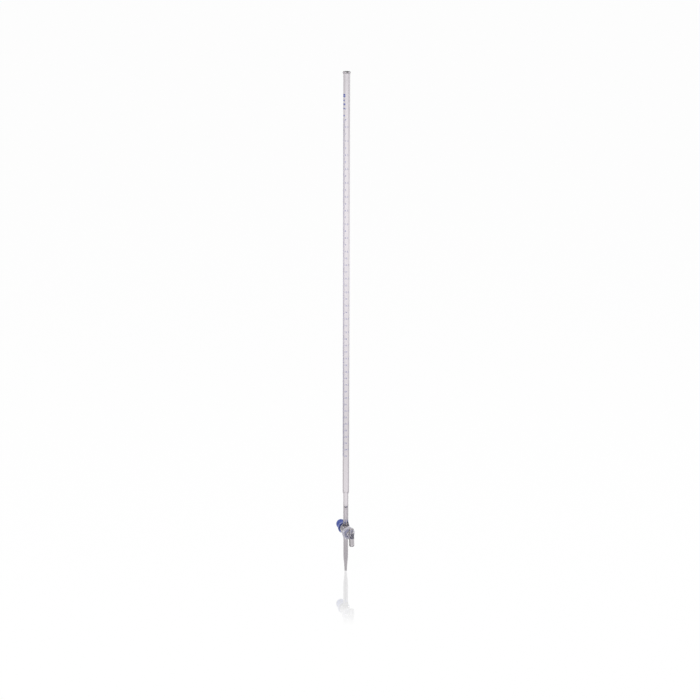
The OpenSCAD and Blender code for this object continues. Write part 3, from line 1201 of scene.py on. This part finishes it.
# %% [markdown]
# What repeats is made by Geometry Nodes. These helpers make a tree with named inputs, set each
# input by its socket's identifier, end the tree in real geometry with its material, and turn
# the result into a plain mesh.

# %% Helpers for Geometry Nodes
INT = "NodeSocketInt"
MATERIAL = "NodeSocketMaterial"
GEOMETRY = "NodeSocketGeometry"


def new_tree(name, inputs):
    tree = bpy.data.node_groups.new(name, "GeometryNodeTree")
    for label, kind in (("Geometry", GEOMETRY), *inputs, ("Material", MATERIAL)):
        tree.interface.new_socket(label, in_out="INPUT", socket_type=kind)
    tree.interface.new_socket("Geometry", in_out="OUTPUT", socket_type=GEOMETRY)
    given = tree.nodes.new("NodeGroupInput").outputs
    return tree, given, tree.nodes.new("NodeGroupOutput").inputs


def finish_tree(tree, geometry, material, output):
    real = tree.nodes.new("GeometryNodeRealizeInstances")
    paint = tree.nodes.new("GeometryNodeSetMaterial")
    link_all(
        tree,
        (geometry, real.inputs["Geometry"]),
        (real.outputs["Geometry"], paint.inputs["Geometry"]),
        (material, paint.inputs["Material"]),
        (paint.outputs["Geometry"], output["Geometry"]),
    )


def run_tree(piece, tree, values):
    step = piece.modifiers.new(tree.name, "NODES")
    step.node_group = tree
    for socket in tree.interface.items_tree:
        if socket.in_out == "INPUT" and socket.name in values:
            step[socket.identifier] = values[socket.name]
    settle(piece)
    print(piece.name, "made by", tree.name, "from", len(values), "values")


print("trees are made, finished and run by three helpers")

# %% [markdown]
# The ribs are slim rods that thin out towards both ends, as a moulded rib does. The tree makes
# one rod, sets copies on a circle and fuses them to the nut's body, so the grip is one skin.

# %% Tree for the ribs
RIB_SIDES = 10
RIB_SEGMENTS = 12
RIB_END_SHARE = 0.3

rib_sizes = ("Circle Radius", "Rib Radius", "Start", "Length")
rib_inputs = (("Count", INT), *((label, FLOAT) for label in rib_sizes))
rib_tree, given, result = new_tree("grip_ribs", rib_inputs)
circle = rib_tree.nodes.new("GeometryNodeMeshCircle")
rib = rib_tree.nodes.new("GeometryNodeMeshCylinder")
rib.inputs["Vertices"].default_value = RIB_SIDES
rib.inputs["Side Segments"].default_value = RIB_SEGMENTS
spot = rib_tree.nodes.new("GeometryNodeInputPosition")
axes = rib_tree.nodes.new("ShaderNodeSeparateXYZ")
thin = rib_tree.nodes.new("ShaderNodeMapRange")
thin.inputs["To Max"].default_value = RIB_END_SHARE - 1
flat = rib_tree.nodes.new("ShaderNodeCombineXYZ")
taper = rib_tree.nodes.new("ShaderNodeVectorMath")
taper.operation = "SCALE"
shaped = rib_tree.nodes.new("GeometryNodeSetPosition")
lifted = rib_tree.nodes.new("GeometryNodeTransform")
middle = rib_tree.nodes.new("ShaderNodeCombineXYZ")
copies = rib_tree.nodes.new("GeometryNodeInstanceOnPoints")
fuse = rib_tree.nodes.new("GeometryNodeMeshBoolean")
fuse.operation = "UNION"
fuse.solver = "EXACT"
half_length = math_node(rib_tree, "MULTIPLY", given["Length"], 0.5)
link_all(
    rib_tree,
    (given["Count"], circle.inputs["Vertices"]),
    (given["Circle Radius"], circle.inputs["Radius"]),
    (given["Rib Radius"], rib.inputs["Radius"]),
    (given["Length"], rib.inputs["Depth"]),
    (spot.outputs[0], axes.inputs[0]),
    (math_node(rib_tree, "ABSOLUTE", axes.outputs["Z"], 0), thin.inputs["Value"]),
    (math_node(rib_tree, "SUBTRACT", half_length, given["Rib Radius"]), thin.inputs["From Min"]),
    (half_length, thin.inputs["From Max"]),
    (axes.outputs["X"], flat.inputs["X"]),
    (axes.outputs["Y"], flat.inputs["Y"]),
    (flat.outputs[0], taper.inputs[0]),
    (thin.outputs["Result"], taper.inputs["Scale"]),
    (rib.outputs["Mesh"], shaped.inputs["Geometry"]),
    (taper.outputs[0], shaped.inputs["Offset"]),
    (shaped.outputs[0], lifted.inputs["Geometry"]),
    (math_node(rib_tree, "ADD", given["Start"], half_length), middle.inputs["Z"]),
    (middle.outputs[0], lifted.inputs["Translation"]),
    (circle.outputs["Mesh"], copies.inputs["Points"]),
    (lifted.outputs[0], copies.inputs["Instance"]),
    (given["Geometry"], fuse.inputs["Mesh 2"]),
    (copies.outputs[0], fuse.inputs["Mesh 2"]),
)
finish_tree(rib_tree, fuse.outputs["Mesh"], given["Material"], result)
print(rib_tree.name, "has", len(rib_tree.nodes), "nodes")

# %% [markdown]
# Ribs on a real nut stop just short of its faces, so that they don't catch. The tree runs while
# the nut still stands upright on its axis, and the finished nut is then laid across the tube.

# %% Ribs of the nut
RIB_COUNT = 24
RIB_R = 0.5 * MM
RIB_START = 0.5 * MM
RIB_STOP = 0.3 * MM

rib_values = {
    "Count": RIB_COUNT,
    "Circle Radius": NUT_R,
    "Rib Radius": RIB_R,
    "Start": nut_low.y + RIB_START,
    "Length": nut_high.y - nut_low.y - RIB_START - RIB_STOP,
    "Material": blue_plastic,
}
run_tree(nut, rib_tree, rib_values)
nut.data.transform(across_key)
hand_over(nut, None, "nut", "blue_plastic", "retaining_nut")

# %% [markdown]
# The scale is the burette's whole purpose: 25 ml in 501 fired lines, one for each 0.05 ml.
# Their pitch isn't measured but worked out, because a length of the bore holds a known
# volume. Each kind of line is one thin strip bent round the tube, and Geometry Nodes sets
# the right kind at each mark, so the lines stay true if the tube's size changes.

# %% Tree for the graduation lines
LINE_SPANS = {"Short": 76, "Medium": 92, "Long": 104}
LINE_SEGMENTS = 15
LINES_PER_TENTH = 2
LINES_PER_NUMBER = 10

line_sizes = ["Zero Height", "Pitch", "Radius", "Line Width", "Print Depth"]
line_sizes += [f"{kind} Span" for kind in LINE_SPANS] + ["Faces"]
line_inputs = (("Count", INT), *((label, FLOAT) for label in line_sizes))
line_tree, given, result = new_tree("graduation_lines", line_inputs)
marks = line_tree.nodes.new("GeometryNodeMeshLine")
start = line_tree.nodes.new("ShaderNodeCombineXYZ")
stride = line_tree.nodes.new("ShaderNodeCombineXYZ")
section = line_tree.nodes.new("GeometryNodeCurvePrimitiveQuadrilateral")
together = line_tree.nodes.new("GeometryNodeJoinGeometry")
link_all(
    line_tree,
    (given["Count"], marks.inputs["Count"]),
    (given["Zero Height"], start.inputs["Z"]),
    (start.outputs[0], marks.inputs["Start Location"]),
    (math_node(line_tree, "MULTIPLY", given["Pitch"], -1), stride.inputs["Z"]),
    (stride.outputs[0], marks.inputs["Offset"]),
    (given["Line Width"], section.inputs["Height"]),
    (given["Print Depth"], section.inputs["Width"]),
)


def every(count):
    """One at each mark whose number is a multiple of the count, else zero."""
    number = line_tree.nodes.new("GeometryNodeInputIndex").outputs[0]
    return math_node(line_tree, "COMPARE", math_node(line_tree, "MODULO", number, count), 0)


numbered = every(LINES_PER_NUMBER)
tenths = every(LINES_PER_TENTH)
choices = {
    "Short": math_node(line_tree, "SUBTRACT", 1, tenths),
    "Medium": math_node(line_tree, "SUBTRACT", tenths, numbered),
    "Long": numbered,
}
for kind, choice in choices.items():
    bend = line_tree.nodes.new("GeometryNodeCurveArc")
    bend.inputs["Resolution"].default_value = LINE_SEGMENTS
    strip = line_tree.nodes.new("GeometryNodeCurveToMesh")
    strip.inputs["Fill Caps"].default_value = True
    set_out = line_tree.nodes.new("GeometryNodeInstanceOnPoints")
    span = given[f"{kind} Span"]
    half_span = math_node(line_tree, "MULTIPLY", span, 0.5)
    link_all(
        line_tree,
        (given["Radius"], bend.inputs["Radius"]),
        (math_node(line_tree, "SUBTRACT", given["Faces"], half_span), bend.inputs["Start Angle"]),
        (span, bend.inputs["Sweep Angle"]),
        (bend.outputs["Curve"], strip.inputs["Curve"]),
        (section.outputs["Curve"], strip.inputs["Profile Curve"]),
        (marks.outputs["Mesh"], set_out.inputs["Points"]),
        (choice, set_out.inputs["Selection"]),
        (strip.outputs["Mesh"], set_out.inputs["Instance"]),
        (set_out.outputs["Instances"], together.inputs["Geometry"]),
    )
finish_tree(line_tree, together.outputs["Geometry"], given["Material"], result)
print(line_tree.name, "sets out", len(choices), "kinds of line")

# %% [markdown]
# Enamel is fired into the glass, so each line stands a little proud of the tube and sinks a
# little into it. The bore gives the scale's length, and the length gives the pitch.

# %% Graduation lines
ML = 1e-6
SCALE_ML = 25
LINE_ML = 0.05
LINE_WIDTH = 0.13 * MM
HEAD_LENGTH = 73 * MM
PRINT_PROUD = 0.03 * MM
PRINT_SUNK = 0.012 * MM
SCALE_FACES = math.pi

scale_length = SCALE_ML * ML / (math.pi * bore_r**2)
zero_z = rim_top - HEAD_LENGTH
line_count = round(SCALE_ML / LINE_ML) + 1
line_pitch = scale_length / (line_count - 1)
print_depth = PRINT_PROUD + PRINT_SUNK
print_r = tube_r + (PRINT_PROUD - PRINT_SUNK) / 2

line_values = {
    "Count": line_count,
    "Zero Height": zero_z,
    "Pitch": line_pitch,
    "Radius": print_r,
    "Line Width": LINE_WIDTH,
    "Print Depth": print_depth,
    "Faces": SCALE_FACES,
    "Material": blue_enamel,
}
line_values |= {f"{kind} Span": math.radians(degrees) for kind, degrees in LINE_SPANS.items()}
lines = new_piece("scale_lines", bmesh.new())
run_tree(lines, line_tree, line_values)
hand_over(lines, None, "burette", "blue_enamel")
print(line_count, "lines,", round(line_pitch / MM, 4), "mm apart")

# %% [markdown]
# Printed figures follow the curve of the tube. Text is flat, so each word becomes a mesh
# first, is cut into narrow columns and is then bent round the glass. Without the columns a
# wide stroke would cut through the curve.

# %% Words bent round the tube
COLUMN = 0.4 * MM
WORD_WELD = 0.001 * MM


def flat_word(text, size, swell):
    curve = bpy.data.curves.new("word", "FONT")
    curve.body = text
    curve.size = size
    curve.offset = swell
    curve.align_x = "CENTER"
    curve.align_y = "CENTER"
    curve.extrude = print_depth / 2
    curve.resolution_u = 2
    holder = add_object("word", curve)
    ready = holder.evaluated_get(bpy.context.evaluated_depsgraph_get())
    data = bpy.data.meshes.new_from_object(ready)
    bpy.data.objects.remove(holder)
    return data


def bend_word(mesh, text, size, angle, height, swell=0.0):
    """Adds a word to the mesh, bent round the tube. Swell makes its strokes bold."""
    word = bmesh.new()
    word.from_mesh(flat_word(text, size, swell))
    bmesh.ops.remove_doubles(word, verts=word.verts, dist=WORD_WELD)
    spans = [vert.co.x for vert in word.verts]
    cut = math.floor(min(spans) / COLUMN) * COLUMN + COLUMN
    while cut < max(spans):
        everything = word.verts[:] + word.edges[:] + word.faces[:]
        bmesh.ops.bisect_plane(word, geom=everything, plane_co=(cut, 0, 0), plane_no=(1, 0, 0))
        cut += COLUMN
    bmesh.ops.recalc_face_normals(word, faces=word.faces)
    for vert in word.verts:
        turn = angle + vert.co.x / tube_r
        reach = print_r + vert.co.z
        vert.co = (reach * math.cos(turn), reach * math.sin(turn), height + vert.co.y)
    part = bpy.data.meshes.new("word")
    word.to_mesh(part)
    word.free()
    mesh.from_mesh(part)


print("words are bent in columns of", round(COLUMN / MM, 2), "mm")

# %% [markdown]
# The numbers stand beside their lines, one for each half millilitre. Each figure has its own
# step, as on a stamped scale, and the point a narrower one.

# %% Numbers
FACING = math.atan2(towards.y, towards.x)
FIRST_FIGURE = FACING - math.radians(16.6)
NUMBER_SIZE = 3.7 * MM
FIGURE_STEP = 2.05 * MM
POINT_STEP = 1.67 * MM

numbers_mesh = bmesh.new()
for mark in range(0, line_count, LINES_PER_NUMBER):
    label = f"{mark * LINE_ML:.1f}".removesuffix(".0")
    height = zero_z - mark * line_pitch
    along = 0
    for figure in label:
        closer = (FIGURE_STEP - POINT_STEP) / 2 if figure == "." else 0
        along -= closer
        bend_word(numbers_mesh, figure, NUMBER_SIZE, FIRST_FIGURE + along / tube_r, height)
        along += FIGURE_STEP - closer
numbers = new_piece("scale_numbers", numbers_mesh)
hand_over(numbers, blue_enamel, "burette", "blue_enamel")

# %% [markdown]
# Above the zero mark a burette states its capacity, its smallest division and the
# temperature it was calibrated at. Only those plain figures are printed here. Each row gives
# its words, the height of its letters and its place above the zero mark in millimetres.

# %% Capacity print
PRINT_ANGLE = FACING - math.radians(53)
PRINT_BOLD = 0.055
PRINT_ROWS = (
    ("25", 6.2, 36.5),
    ("ml", 3.4, 29.5),
    ("0.05", 3.6, 23.5),
    ("20 °C", 2.8, 17),
    ("ml", 3.4, 6.5),
)

print_mesh = bmesh.new()
for text, size, above in PRINT_ROWS:
    swell = PRINT_BOLD * size * MM
    bend_word(print_mesh, text, size * MM, PRINT_ANGLE, zero_z + above * MM, swell)
capacity = new_piece("capacity_print", print_mesh)
hand_over(capacity, blue_enamel, "burette", "blue_enamel")
